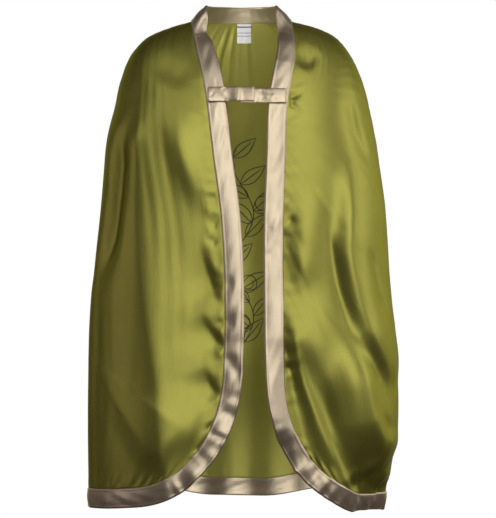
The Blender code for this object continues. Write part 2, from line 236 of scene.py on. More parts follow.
# Closure tabs, in metres, and their creases, in millimetres
TAB_HEIGHT = 0.020
TAB_WALL = 0.0018
TAB_CLEAR = 0.0008
LAP_START = -0.020  # x from which, and to which, the left tab rises over the right one
LAP_END = -0.006
Tab = namedtuple("Tab", "name node middle start end creases")
LEFT_TAB = Tab("tab_left", "closure_tab_left", -0.109, -0.0465, 0.0155, (
    Crease(((-47, -97), (-36, -108), (-22, -120)), 9, 6, -1.8, 0.1, 0.1),
    Crease(((-45, -112), (-38, -109)), 2.5, 2.5, -0.6),
    Crease(((-9, -97), (-6, -108), (-8, -121)), 6, 4, 1.8, 0.1, 0.1),
    Crease(((-24, -98), (-18, -110), (-20, -121)), 5, 4, -0.9, 0.1, 0.1),
    Crease(((15, -97), (14, -121)), 13, 3, 1.5, 0.05, 0.05),
))
RIGHT_TAB = Tab("tab_right", "closure_tab_right", -0.111, -0.004, 0.0580, (
    Crease(((24, -98), (25, -122)), 9, 8, -1.8, 0.05, 0.05),
    Crease(((60, -98), (60, -122)), 14, 5, -1.3, 0.05, 0.05),
    Crease(((18, -104), (30, -108), (44, -109)), 3, 3, -0.7),
    Crease(((20, -114), (34, -116), (48, -117)), 3, 3, -0.6),
))
TAB_RUMPLE = 0.00012
TAB_CROWN = 0.0012
RUMPLE_WAVES = (0.006, 0.018)
RUMPLE_SLANTS = (0.5, 0.3)
TAB_TIP = 0.35  # share of its thickness that a tab has at its ends
TAB_CELLS = 72
TAB_STEPS = 20
TAB_SEWN = 2  # cells from a tab's sewn end, and from its edges, at which the sewing runs
FORWARD = (0.0, -1.0, 0.0)

# Label, in metres
LABEL_X = 0.0015
LABEL_WIDTH = 0.020
LABEL_HEIGHT = 0.026
LABEL_TOP = 0.0015
LABEL_WALL = 0.0006
LABEL_CLEAR = 0.0011
LABEL_CELLS = (20, 26)

# Sewing, in metres
STITCH_PITCH = 0.0034
STITCH_LENGTH = 0.0025
THREAD_RADIUS = 0.00022
STITCH_STEP = 5  # the band's point, counted from its seam, that the sewing runs along
THREAD_SIDES = 6
THREAD_PROFILE = ((-0.5, 0.0), (-0.46, 0.6), (-0.25, 1.0), (0.25, 1.0), (0.46, 0.6), (0.5, 0.0))
THREAD_SINK = 0.6  # radii by which a thread's line lies in the cloth
THREAD_TIP = 0.15

# Line print on the back, in millimetres
PRINT_TOP = -165
PRINT_FOOT = -480
PRINT_WIDTH = 1.5
PRINT_PROUD = 0.0002
LINE_TIP = 0.45  # share of its width that a line has at its ends
STEM_SWAY = 15
STEM_WAVE = 150
STEM_STEPS = 160
LEAF_LENGTH = 44
LEAF_WIDTH = 9
LEAF_GAP = 38
LEAF_MARGIN = 16
LEAF_LEAN = (28, 52)  # degrees
LEAF_SIZE = (0.8, 1.15)
LEAF_SWELL = 0.8  # below 1 a leaf is widest near its stem
LEAF_VEIN = 0.8  # share of its length that a leaf's vein has
LEAF_STEPS = 24
CURL_SIZE = 15
CURL_TOP = 26  # margins of the curls below the print's top and above its foot
CURL_FOOT = 30
CURL_GAP = 57
CURL_TURNS = 1.6
CURL_CLOSING = 0.55
CURL_STEPS = 60

# Mesh cells of the body, and how much closer they lie at its edges
BODY_COLUMNS = 280
BODY_ROWS = 170
COLUMN_EASE = 0.45
ROW_EASE = 0.25

# Colours, and the roughness and gloss of the satins
Satin = namedtuple("Satin", "name colour roughness gloss_share")
GREEN = Satin("green_satin", (0.33, 0.315, 0.065), 0.43, 0.92)
# Reverse side of the green satin: duller than the face, as a satin's back is, and lighter in colour. The
# lighter colour is painted light that brightens the shaded inside of the cape.
GREEN_BACK_PAINTED_LIGHT = Satin("green_satin_back_painted_light", (0.40, 0.38, 0.085), 0.48, 0.6)
GOLD = Satin("gold_satin", (0.61, 0.51, 0.36), 0.40, 0.92)
TONE_STOPS = (0.3, 0.7)  # values of the noise that give a colour's darker and lighter tones
TONE_SCALE = 11
TONE_SPREAD = 0.05
GLOSS_SCALE = 45
GLOSS_SPREAD = 0.04
FLOAT_STRETCH = (700, 25, 1)  # of the threads that float along the cloth
FLOAT_DETAIL = 4.0
FLOAT_STRENGTH = 0.25
FLOAT_HEIGHT = 0.0006
EDGE_TINT = 0.25  # tint of the gloss at a glancing angle: this, and a share of the colour
EDGE_TINT_SHARE = 0.5
TAPE_WHITE = (0.92, 0.91, 0.93)
TAPE_PURPLE = (0.07, 0.045, 0.11)
TAPE_PALE = (0.42, 0.40, 0.52)
TAPE_ROUGHNESS = 0.65
# Start and end of each line as shares of the label's height, and its colour
TAPE_LINES = ((0.15, 0.20, TAPE_PURPLE), (0.50, 0.53, TAPE_PALE), (0.68, 0.71, TAPE_PALE))
TAPE_BLUR = 0.02
TAPE_STRETCH = (1500, 2500, 1)
TAPE_DETAIL = 2.0
TAPE_STRENGTH = 0.3
TAPE_HEIGHT = 0.0002
MATT_SPREAD = 0.05  # of a matt material's roughness
Matt = namedtuple("Matt", "name colour roughness scale spread")
THREAD = Matt("thread", (0.45, 0.36, 0.24), 0.5, 300, 0.1)
INK = Matt("print_ink", (0.058, 0.053, 0.026), 0.55, 40, 0.15)
FLOOR = Matt("floor", (0.8, 0.8, 0.79), 0.9, 3, 0.02)

# Camera, floor and light: places and sizes in metres, powers in watts
CAMERA_AT = (0.0069, -2.5, -0.328)
LENS = 125.62
SENSOR = 36.0
FLOOR_Z = -0.98
FLOOR_SIZE = 3.0
DIM_COLOUR = (1.0, 0.74, 0.80, 1)  # what the cloth mirrors where there is no light
DIM_STRENGTH = 0.045
NEUTRAL = (1, 1, 1)
WARM = (1.0, 0.89, 0.95)
MIDDLE = (0, 0, -0.33)
Light = namedtuple("Light", "name at target size power colour", defaults=(NEUTRAL,))
LIGHTS = (
    Light("key", (0.50, -2.55, 0.65), MIDDLE, (2.1, 2.9), 36),
    Light("low_key", (1.90, -1.60, -0.22), MIDDLE, (1.1, 0.45), 3),
    Light("top_key", (0.75, -1.18, 2.0), MIDDLE, (1.6, 1.5), 10),
    Light("top_left", (-1.25, -1.3, 1.55), MIDDLE, (1.1, 1.1), 5),
    Light("side_key", (2.35, -0.20, 0.45), MIDDLE, (1.7, 2.0), 17),
    Light("right_fill", (1.90, 1.35, 0.0), MIDDLE, (1.4, 1.6), 6),
    Light("left_fill", (-2.6, -0.2, 0.0), MIDDLE, (2.0, 1.8), 6, WARM),
    Light("backdrop", (0.0, 1.9, -0.1), MIDDLE, (4.2, 2.6), 20),
    Light("inner_fill", (0.0, -0.05, -0.45), (0.0, 0.10, -0.10), (0.16, 0.10), 0.17),
    Light("neck_fill", (-0.070, -0.025, -0.065), (0.0, 0.055, -0.03), (0.04, 0.03), 0.05),
    Light("hem_fill", (0.0, -0.08, -0.69), (0.0, 0.16, -0.66), (0.30, 0.05), 0.14),
)


def smooth(x):
    x = np.clip(x, 0, 1)
    return x * x * (3 - 2 * x)


def mix(a, b, share):
    return a + (b - a) * share


def unit(v):
    return v / np.linalg.norm(v, axis=-1, keepdims=True)


def lengths(points, axis):
    """How far each point lies along its row (axis 1) or column (axis 0)."""
    steps = np.linalg.norm(np.diff(points, axis=axis), axis=-1)
    start = np.zeros_like(np.take(steps, [0], axis=axis))
    return np.concatenate([start, np.cumsum(steps, axis=axis)], axis=axis)


def wave(turns):
    return np.sin(2 * math.pi * turns)


def ripple(rng, place, waves, count=5):
    """An uneven wave about 1 high along a length in metres."""
    total = np.zeros_like(place)
    for _ in range(count):
        total += wave(place / rng.uniform(*waves) + rng.uniform())
    return total / math.sqrt(count)


# The drape, for arrays of angles and shares

SIDE_PATH = np.array([(ring.left, ring.side_z) for ring in RINGS])
SHARES = np.concatenate([[0.0], np.cumsum(np.linalg.norm(np.diff(SIDE_PATH, axis=0), axis=1))])
SHARES = SHARES / SHARES[-1]
TABLE = np.array(RINGS)
SLOPES = np.gradient(TABLE, SHARES, axis=0)


def ring_at(share):
    share = np.asarray(share, float)
    i = np.clip(np.searchsorted(SHARES, share, side="right") - 1, 0, len(SHARES) - 2)
    span = (SHARES[i + 1] - SHARES[i])[..., None]
    t = (share - SHARES[i])[..., None] / span
    return (
        (1 + 2 * t) * (1 - t) ** 2 * TABLE[i]
        + t * (1 - t) ** 2 * span * SLOPES[i]
        + t * t * (3 - 2 * t) * TABLE[i + 1]
        + t * t * (t - 1) * span * SLOPES[i + 1]
    )


def past_side(angle):
    """Degrees past the side, towards the front."""
    return np.where(angle > 90, angle - 180, -angle)


def hem_shift(angle):
    past = past_side(angle)
    sway = np.where(past <= 0, np.cos(np.radians(HEM_WAVES * angle)), 1 - past / 90)
    rise = smooth((angle - RISE_FROM) / RISE_RUN) * (1 - smooth((angle - FALL_FROM) / FALL_RUN))
    return HEM_RISE * rise - HEM_WAVE * sway


def drape(angle, share):
    """Points of the cloth without its folds."""
    ring = np.moveaxis(ring_at(share), -1, 0)
    side_z, back_z, front_z, left, right, back, front, left_edge, right_edge, turn = ring
    on_left = angle > 90
    width = np.where(on_left, left, right)
    edge = np.where(on_left, left_edge, right_edge)
    past = past_side(angle)
    bearing = np.radians(angle)
    behind = np.stack(
        [width * np.cos(bearing), back * np.sin(bearing), mix(side_z, back_z, np.sin(bearing) ** 2)], axis=-1
    )
    end = np.radians(turn)
    turned = end * past / 90
    middle = (edge - width * np.cos(end)) / (1 - np.cos(end))
    x = np.where(on_left, -1, 1) * (middle + (width - middle) * np.cos(turned))
    power = mix(2, FRONT_SQUARE, smooth((share - SQUARE_FROM) / SQUARE_RUN))
    bow = (1 - np.abs(np.cos(turned)) ** power) / (1 - np.abs(np.cos(end)) ** power)
    y = -front * np.abs(bow) ** (1 / power)
    z = mix(side_z, front_z, (np.sin(turned) / np.sin(end)) ** 2)
    points = np.where((past <= 0)[..., None], behind, np.stack([x, y, z], axis=-1))
    points[..., 2] += hem_shift(angle) * share**HEM_POWER
    return points


# The panel's outline

FINE_SHARES = np.linspace(0, 1, FINE_STEPS)
FRONT_HEIGHTS = ring_at(FINE_SHARES)[:, 2]
BACK_HEIGHTS = ring_at(FINE_SHARES)[:, 1]


def share_at_front(z):
    return np.interp(-np.asarray(z), -FRONT_HEIGHTS, FINE_SHARES)


def share_at_back(z):
    return np.interp(-np.asarray(z), -BACK_HEIGHTS, FINE_SHARES)


def angle_from_edge(offset, share, left):
    ring = Ring(*np.moveaxis(ring_at(share), -1, 0))
    reach = ring.left - ring.left_edge if left else ring.right - ring.right_edge
    past = np.degrees(np.arccos(np.clip(offset / reach, -1, 1)))
    return 180 + past if left else -past


def corner_of(left):
    return LEFT_CORNER if left else RIGHT_CORNER


def corner_points(turns, left):
    corner = corner_of(left)
    share = share_at_front(RINGS[-1].front_z + corner.height * (1 - np.sin(turns)))
    return angle_from_edge(corner.width * (1 - np.cos(turns)), share, left), share


def front_edge_angle(down, left):
    corner = corner_of(left)
    share = down * corner_points(np.array([CORNER_SPLIT]), left)[1][0]
    sunk = (RINGS[-1].front_z + corner.height - ring_at(share)[..., 2]) / corner.height
    offset = corner.width * (1 - np.sqrt(np.clip(1 - np.clip(sunk, 0, 1) ** 2, 0, 1)))
    straight = 270.0 if left else -90.0
    return np.where(sunk <= 0, straight, angle_from_edge(offset, share, left))


def hem_share(angle):
    turns = np.linspace(CORNER_SPLIT, math.pi / 2, CORNER_STEPS)
    share = np.ones_like(angle)
    for left in (True, False):
        angles, shares = corner_points(turns, left)
        order = np.argsort(angles)
        inside = angle > 180 if left else angle < 0
        share = np.where(inside, np.interp(angle, angles[order], shares[order]), share)
    return share


# Folds and creases


def fold_lift(angle, share):
    total = np.zeros_like(angle)
    for fold in FOLDS:
        run = (share - fold.start) / (fold.end - fold.start)
        off = (angle - mix(fold.start_angle, fold.end_angle, run)) / fold.half_width
        strength = smooth(run / FOLD_GROWTH)
        section = np.where(abs(off) < 1, np.cos(np.clip(off, -1, 1) * math.pi / 2) ** 2, 0)
        total += fold.lift * strength * section
    return total


def spline(points, steps=8):
    """A smooth line through the points."""
    p = np.array(points, float)
    p = np.vstack([2 * p[0] - p[1], p, 2 * p[-1] - p[-2]])
    line = []
    for a, b, c, d in zip(p, p[1:], p[2:], p[3:]):
        square = 2 * a - 5 * b + 4 * c - d
        cube = 3 * b - a - 3 * c + d
        for t in np.linspace(0, 1, steps, endpoint=False):
            line.append(0.5 * (2 * b + (c - a) * t + square * t**2 + cube * t**3))
    line.append(p[-2])
    return np.array(line)


def crease_lift(x, z, crease):
    """How far one crease moves the cloth out, at places in millimetres."""
    line = spline(crease.path)
    reach = CREASE_REACH * np.max([*np.ravel(crease.left), *np.ravel(crease.right)])
    low = line.min(axis=0) - reach
    high = line.max(axis=0) + reach
    near = (x > low[0]) & (x < high[0]) & (z > low[1]) & (z < high[1])
    here = np.stack([x[near], z[near]], axis=-1)
    best = np.full(len(here), np.inf)
    signed = np.zeros(len(here))
    along = np.zeros(len(here))
    for i, (a, b) in enumerate(zip(line, line[1:])):
        step = b - a
        t = np.clip((here - a) @ step / step.dot(step), 0, 1)
        off = here - a - t[:, None] * step
        far = np.hypot(off[:, 0], off[:, 1])
        nearer = far < best
        best = np.where(nearer, far, best)
        signed = np.where(nearer, np.sign(step[1] * off[:, 0] - step[0] * off[:, 1]) * far, signed)
        along = np.where(nearer, (i + t) / (len(line) - 1), along)
    widths = [np.interp(along, (0, 1), np.broadcast_to(width, 2)) for width in (crease.left, crease.right)]
    width = np.where(signed > 0, *widths)
    ends = smooth(along / crease.fade_in) * smooth((1 - along) / crease.fade_out)
    lift = np.zeros(x.shape)
    lift[near] = crease.lift * ends * np.exp(-((best / width) ** crease.power))
    return lift


def all_creases(creases, x, z):
    """How far the creases move the cloth out together, in metres, at places in metres."""
    return sum(crease_lift(x * MM, z * MM, crease) for crease in creases) / MM


def front_lift(points, angle):
    x, z = points[..., 0], points[..., 2]
    on_left = smooth((angle - (180 - FRONT_START)) / FRONT_BLEND)
    on_right = smooth((FRONT_START - angle) / FRONT_BLEND)
    return on_left * all_creases(LEFT_CREASES, x, z) + on_right * all_creases(RIGHT_CREASES, x, z)


def back_lift(rng, points, angle):
    """Secondary creases of the sides and back, none on the fronts."""
    creases = []
    for i in range(BACK_CREASES):
        x = rng.uniform(-BACK_REACH, BACK_REACH)
        z = rng.uniform(*BACK_TOP)
        length = rng.uniform(*BACK_LENGTH)
        lean = rng.uniform(-BACK_LEAN, BACK_LEAN)
        bow = rng.uniform(-BACK_BOW, BACK_BOW) * length
        path = ((x, z), (x + lean * length / 2 + bow, z - length / 2), (x + lean * length, z - length))
        lift = rng.uniform(*BACK_LIFT) * (1 if i % 2 else -1)
        creases.append(Crease(path, rng.uniform(*BACK_HALF_WIDTH), rng.uniform(*BACK_HALF_WIDTH), lift))
    across = lengths(points, 1)
    across = across - across[:, across.shape[1] // 2, None]
    behind = smooth((angle + BACK_PAST) / BACK_BLEND) * smooth((180 + BACK_PAST - angle) / BACK_BLEND)
    return behind * all_creases(creases, across, -lengths(points, 0))


def pucker(rng, distance, along, height, reach, waves):
    """Small waves that a seam gathers into the cloth beside it."""
    near = distance / reach
    uneven = PUCKER_EVEN + (1 - PUCKER_EVEN) * ripple(rng, along, PUCKER_SPELLS, FEW_WAVES)
    return height * (near * np.exp(1 - near)) ** 2 * uneven * ripple(rng, along, waves)


def sewing_lift(rng, points, angle):
    """Puckers beside the fronts' and hem's seams, and gathers below the neck seam."""
    across, down = lengths(points, 1), lengths(points, 0)
    lift = pucker(rng, across, down, PUCKER, PUCKER_REACH, PUCKER_WAVES)
    lift += pucker(rng, across[:, -1:] - across, down, PUCKER, PUCKER_REACH, PUCKER_WAVES)
    lift *= smooth((down - PUCKER_TOP) / PUCKER_TOP)
    round_hem = across[-1:] * np.ones_like(across)
    lift += pucker(rng, down[-1:] - down, round_hem, HEM_PUCKER, PUCKER_REACH, PUCKER_WAVES)
    round_neck = across[:1] * np.ones_like(across)
    behind = smooth((angle - GATHER_FROM) / GATHER_BLEND) * smooth((180 - GATHER_FROM - angle) / GATHER_BLEND)
    lift += behind * pucker(rng, down, round_neck, GATHER, GATHER_REACH, GATHER_WAVES)
    return lift


def streak_lift(rng, points):
    """Low folds that run down the cloth, each wandering and coming and going."""
    across, down = lengths(points, 1), lengths(points, 0)
    total = np.zeros_like(across)
    for _ in range(STREAK_COUNT):
        wander = rng.uniform(*STREAK_WANDER) * wave(down / rng.uniform(*STREAK_RUN) + rng.uniform())
        strength = 0.5 + 0.5 * wave(down / rng.uniform(*STREAK_RUN) + rng.uniform())
        total += strength * wave(across / rng.uniform(*STREAK_WAVES) + rng.uniform() + wander)
    return STREAK * total


# The body grid


def eased(count, ends):
    """Shares from 0 to 1 that lie closer together at both ends."""
    u = np.linspace(0, 1, count + 1)
    return u - ends * np.sin(2 * math.pi * u) / (2 * math.pi)


ACROSS = eased(BODY_COLUMNS, COLUMN_EASE)
DOWN = eased(BODY_ROWS, ROW_EASE)


def grid_normals(points):
    return unit(np.cross(np.gradient(points, axis=1), np.gradient(points, axis=0)))


def body_grid(rng):
    across, down = np.meshgrid(ACROSS, DOWN)
    ends = [front_edge_angle(down, left) for left in (True, False)]
    bottom = [front_edge_angle(np.ones_like(down), left) for left in (True, False)]
    angle = mix(*ends, across)
    share = down * hem_share(mix(*bottom, across))
    points = drape(angle, share)
    lift = fold_lift(angle, share) + front_lift(points, angle) + back_lift(rng, points, angle)
    lift += sewing_lift(rng, points, angle) + streak_lift(rng, points)
    points = points + grid_normals(points) * lift[..., None]
    return points, grid_normals(points)


def on_back(field, angle, share):
    """Values of a field of the body grid at angles and shares of the back, between the grid's points."""
    left, right = front_edge_angle(share, True), front_edge_angle(share, False)
    row = np.interp(share, DOWN, np.arange(len(DOWN)))
    column = np.interp((left - angle) / (left - right), ACROSS, np.arange(len(ACROSS)))
    i = np.minimum(row.astype(int), len(DOWN) - 2)
    j = np.minimum(column.astype(int), len(ACROSS) - 2)
    s, t = (row - i)[..., None], (column - j)[..., None]
    return mix(mix(field[i, j], field[i, j + 1], t), mix(field[i + 1, j], field[i + 1, j + 1], t), s)


def back_place(x, z):
    """Angle and share of the place on the back at x and z, in metres."""
    share = share_at_back(z)
    ring = Ring(*np.moveaxis(ring_at(share), -1, 0))
    return np.degrees(np.arccos(x / np.where(x < 0, ring.left, ring.right))), share


# Making meshes


def mesh_object(name, points, faces, uv=None):
    mesh = bpy.data.meshes.new(name)
    mesh.from_pydata(points.reshape(-1, 3).tolist(), [], faces)
    if uv is not None:
        corners = np.empty(len(mesh.loops), int)
        mesh.loops.foreach_get("vertex_index", corners)
        mesh.uv_layers.new(name="cloth").data.foreach_set("uv", uv.reshape(-1, 2)[corners].reshape(-1))
    mesh.shade_smooth()
    made = bpy.data.objects.new(name, mesh)
    bpy.context.scene.collection.objects.link(made)
    return made


def grid_faces(rows, columns, closed_rows=False, closed_columns=False):
    index = np.arange(rows * columns).reshape(rows, columns)
    if closed_columns:
        index = np.concatenate([index, index[:, :1]], axis=1)
    if closed_rows:
        index = np.concatenate([index, index[:1]], axis=0)
    faces = np.stack([index[:-1, :-1], index[:-1, 1:], index[1:, 1:], index[1:, :-1]], axis=-1)
    return faces.reshape(-1, 4).tolist()


def sheet_object(name, points, wall):
    """A thin closed shell on a grid of points, with its UV map in metres."""
    uv = np.stack([lengths(points, 1), lengths(points, 0)], axis=-1)
    made = mesh_object(name, points, grid_faces(*points.shape[:2]), uv)
    shell = made.modifiers.new("wall", "SOLIDIFY")
    shell.thickness = wall
    shell.offset = 0
    shell.use_even_offset = False
    return made


def strip_object(name, rings, closed):
    """A folded strip: rings round its section, where point k and the last but k lie opposite each other."""
    count, around = rings.shape[:2]
    faces = grid_faces(count, around, closed_rows=closed, closed_columns=True)
    if not closed:
        faces += end_faces(0, around, False) + end_faces((count - 1) * around, around, True)
    uv = np.stack([lengths(rings, 1), lengths(rings, 0)], axis=-1)
    return mesh_object(name, rings, faces, uv)


def end_faces(first, around, flip):
    """Faces that close a ring, from each point on one side to the one opposite."""
    faces = []
    for k in range(around // 2):
        a, b, c, d = k, k + 1, around - k - 1, (around - k) % around
        corners = [first + i for i in dict.fromkeys((a, b, c, d))]
        faces.append(corners if flip else corners[::-1])
    return faces


def strip_section(steps, wall, lip):
    """Shares across the width and heights, round the section of a folded strip."""
    turn = np.linspace(0, 2 * math.pi, 2 * steps, endpoint=False)
    out = (1 - np.cos(turn)) / 2
    half = np.sqrt(1 - np.abs(np.cos(turn)) ** SECTION_POWER) * wall / 2
    lips = sum(np.exp(-(((out - at) / LIP_REACH) ** 2)) for at in (LIP_AT, 1 - LIP_AT))
    high = np.where(turn < math.pi, half + lip * lips * half * 2 / wall, -half)
    return out, high


# The edge band: one folded strip round the whole panel


def roll_at(knots, place):
    """How far the band's free edge is rolled out at places, in radians, from knots of place and degrees."""
    places, degrees = zip(*knots)
    return np.radians(np.interp(place, places, degrees))


def edge_loop(points, normals):
    """Seam points round the panel, with the way along, the way out, the width of the band and its roll."""
    rows, columns = points.shape[:2]
    left = [(i, 0) for i in range(rows - 1)]
    hem = [(rows - 1, j) for j in range(columns - 1)]
    right = [(i, columns - 1) for i in range(rows - 1, 0, -1)]
    neck = [(0, j) for j in range(columns - 1, 0, -1)]
    loop = np.array(left + hem + right + neck)
    seam = points[loop[:, 0], loop[:, 1]]
    along = unit(np.roll(seam, -1, axis=0) - np.roll(seam, 1, axis=0))
    outward = normals[loop[:, 0], loop[:, 1]]
    away = unit(np.cross(outward, along))
    down = loop[:, 0] / (rows - 1)
    across = loop[:, 1] / (columns - 1)
    is_neck = loop[:, 0] == 0
    on_left = across < 0.5
    collar_way = np.where(on_left[:, None], LEFT_COLLAR_WAY, RIGHT_COLLAR_WAY)
    to_middle = unit(seam * np.array((-1, -1, 0)))
    stand = to_middle * LEAN + np.array((0, 0, math.sqrt(1 - LEAN * LEAN)))
    from_end = smooth(np.minimum(across, 1 - across) / COLLAR_BLEND)[:, None]
    neck_way = mix(collar_way, stand, from_end)
    front_way = mix(collar_way, away, smooth(down / COLLAR_BLEND)[:, None])
    way = unit(np.where(is_neck[:, None], neck_way, front_way))
    neck_width = mix(BAND_WIDTH, mix(NECK_WIDTH_BACK, NECK_WIDTH_SIDE, to_middle[:, 0] ** 2), from_end[:, 0])
    width = np.where(is_neck, neck_width, BAND_WIDTH)
    z = seam[:, 2]
    roll = np.where(loop[:, 1] == 0, roll_at(LEFT_ROLL, z), 0)
    roll = np.where(loop[:, 1] == columns - 1, roll_at(RIGHT_ROLL, z), roll)
    hem_row = (loop[:, 0] == rows - 1) & (seam[:, 1] < 0)
    roll += np.where(hem_row, roll_at(HEM_ROLL, seam[:, 0]), 0)
    place = lengths(seam[:, None], 0)[:, 0]
    corners = np.cumsum([0, len(left), len(hem), len(right)])
    for turn in TURNS:
        off = np.abs(place - place[corners[turn.corner]] - turn.past)
        off = np.minimum(off, place[-1] - off)
        roll += math.radians(turn.degrees) * np.exp(-((off / turn.reach) ** 2))
    return seam, along, way, width, roll


def evened(vectors):
    """Directions round a loop, each the mean of its neighbours'."""
    steps = range(-BAND_SMOOTHING, BAND_SMOOTHING + 1)
    return unit(sum(np.roll(vectors, step, axis=0) for step in steps))


def edge_band(rng, points, normals):
    """Rings of the band, and the way out of its outer face."""
    seam, along, way, width, roll = edge_loop(points, normals)
    way = evened(way)
    up = unit(np.cross(evened(along), way))
    roll = roll[:, None]
    way, up = way * np.cos(roll) + up * np.sin(roll), up * np.cos(roll) - way * np.sin(roll)
    out, high = strip_section(BAND_STEPS, BAND_WALL, BAND_LIP)
    reach = -BAND_TUCK + out * (width + BAND_TUCK)[:, None]
    flat = seam[:, None] + way[:, None] * reach[..., None]
    travelled = lengths(np.concatenate([seam, seam[:1]])[:, None], 0)[:-1]
    slant = travelled + RIPPLE_SLANT * (out - 0.5)
    relief = BAND_RIPPLE * np.sin(math.pi * out) * ripple(rng, slant, RIPPLE_WAVES)
    relief = relief * smooth(np.minimum(travelled, travelled[-1] - travelled) / RIPPLE_FADE)
    in_front = seam[:, 1, None] < FRONT_Y
    relief += in_front * all_creases(BAND_CREASES, flat[..., 0], flat[..., 2])
    relief += BAND_CROWN * np.sin(math.pi * out)
    return flat + up[:, None] * (high + relief)[..., None], up


# Closure tabs


def chest_depth(rings, z):
    """Depth, at heights near the closure, of an even slope along the front band that lies further out."""
    slopes = []
    edge = rings[:, BAND_STEPS]
    edge = edge[(edge[:, 1] < 0) & (np.abs(edge[:, 2] - LEFT_TAB.middle) < TAB_HEIGHT)]
    for side in (-1, 1):
        near = edge[edge[:, 0] * side > 0]
        slopes.append(np.polyfit(near[:, 2], near[:, 1], 1))
    return np.min([np.polyval(slope, z) for slope in slopes], axis=0)


def tab_rings(rng, tab, band):
    out, high = strip_section(TAB_STEPS, TAB_WALL, 0.0)
    x = np.linspace(tab.start, tab.end, TAB_CELLS + 1)[:, None] * np.ones_like(out)
    z = tab.middle + (out - 0.5) * TAB_HEIGHT * np.ones_like(x)
    lap = smooth((x - LAP_START) / (LAP_END - LAP_START)) * (tab is LEFT_TAB)
    stand = BAND_WALL / 2 + BAND_LIP + TAB_WALL / 2 + TAB_CLEAR + lap * (TAB_WALL + TAB_CLEAR)
    lift = all_creases(tab.creases, x, z)
    lift += TAB_CROWN * (1 - (2 * out - 1) ** 2)
    rumple = TAB_RUMPLE * ripple(rng, x + RUMPLE_SLANTS[0] * z, RUMPLE_WAVES)
    lift += rumple * ripple(rng, z - RUMPLE_SLANTS[1] * x, RUMPLE_WAVES, FEW_WAVES)
    ends = np.minimum(x - tab.start, tab.end - x)
    thin = TAB_TIP + (1 - TAB_TIP) * smooth(ends / TAB_WALL)
    y = chest_depth(band, z) - stand - lift - high * thin
    return np.stack([x, y, z], axis=-1)


# Label


def label_grid(points, normals):
    u, v = np.meshgrid(*(np.linspace(0, 1, cells + 1) for cells in LABEL_CELLS))
    x = LABEL_X + LABEL_WIDTH * (u - 0.5)
    z = RINGS[0].back_z - LABEL_TOP - LABEL_HEIGHT * v
    angle, share = back_place(x, z)
    return on_back(points, angle, share) - on_back(normals, angle, share) * LABEL_CLEAR


# Sewing


def stitches(path, up, closed=False):
    """Starts and ends of the stitches along a path, and the way out of the cloth at each."""
    if closed:
        path, up = np.concatenate([path, path[:1]]), np.concatenate([up, up[:1]])
    travelled = lengths(path[:, None], 0)[:, 0]
    middles = np.arange(STITCH_PITCH / 2, travelled[-1], STITCH_PITCH)
    ends = [
        np.stack([np.interp(middles + step, travelled, path[:, k]) for k in range(3)], axis=-1)
        for step in (-STITCH_LENGTH / 2, STITCH_LENGTH / 2)
    ]
    away = unit(np.stack([np.interp(middles, travelled, up[:, k]) for k in range(3)], axis=-1))
    return ends[0], ends[1], away


def thread_object(name, rows):
    """All stitches of several rows as one mesh of short round threads."""
    start, end, away = (np.concatenate(parts) for parts in zip(*rows))
    way = end - start
    side = unit(np.cross(way, away))
    away = unit(np.cross(side, way))
    turn = np.linspace(0, 2 * math.pi, THREAD_SIDES, endpoint=False)
    rings = []
    for run, thick in THREAD_PROFILE:
        middle = (start + end) / 2 + way * run + away * THREAD_RADIUS * (thick - THREAD_SINK)
        radius = THREAD_RADIUS * max(thick, THREAD_TIP)
        circle = side[:, None] * np.cos(turn)[:, None] + away[:, None] * np.sin(turn)[:, None]
        rings.append(middle[:, None] + radius * circle)
    points = np.stack(rings, axis=1)
    count, rows_each = points.shape[:2]
    one = grid_faces(rows_each, THREAD_SIDES, closed_columns=True)
    each = rows_each * THREAD_SIDES
    one += [list(range(THREAD_SIDES))[::-1], list(range(each - THREAD_SIDES, each))]
    faces = [[i * each + k for k in face] for i in range(count) for face in one]
    return mesh_object(name, points, faces)


# Line print: a climbing stem with leaves and curls, soaked through the cloth of the back


def stem_x(z):
    return STEM_SWAY * wave(z / STEM_WAVE)


def turned(line, degrees, x, z):
    a = math.radians(degrees)
    return line @ np.array(((math.cos(a), math.sin(a)), (-math.sin(a), math.cos(a)))) + (x, z)


def print_lines(rng):
    heights = np.linspace(PRINT_TOP, PRINT_FOOT, STEM_STEPS)
    lines = [np.stack([stem_x(heights), heights], axis=-1)]
    run = np.linspace(0, 1, LEAF_STEPS)
    bulge = LEAF_WIDTH * np.sin(math.pi * run**LEAF_SWELL)
    side = 1
    for z in np.arange(PRINT_TOP - LEAF_MARGIN, PRINT_FOOT + LEAF_MARGIN, -LEAF_GAP / 2):
        lean = side * rng.uniform(*LEAF_LEAN)
        size = rng.uniform(*LEAF_SIZE)
        base = 0 if side > 0 else 180
        for edge in (-1, 0, 1):
            reach = LEAF_LENGTH * (run if edge else run * LEAF_VEIN)
            leaf = np.stack([reach, edge * bulge], axis=-1) * size
            lines.append(turned(leaf, base + lean, stem_x(z), z))
        side = -side
    for z in np.arange(PRINT_TOP - CURL_TOP, PRINT_FOOT + CURL_FOOT, -CURL_GAP):
        turns = np.linspace(0, CURL_TURNS * 2 * math.pi, CURL_STEPS)
        radius = CURL_SIZE * (1 - CURL_CLOSING * turns / turns[-1])
        curl = np.stack([radius * np.cos(turns) - CURL_SIZE, side * radius * np.sin(turns)], axis=-1)
        lines.append(turned(curl, 180 if side > 0 else 0, stem_x(z), z))
        side = -side
    return lines


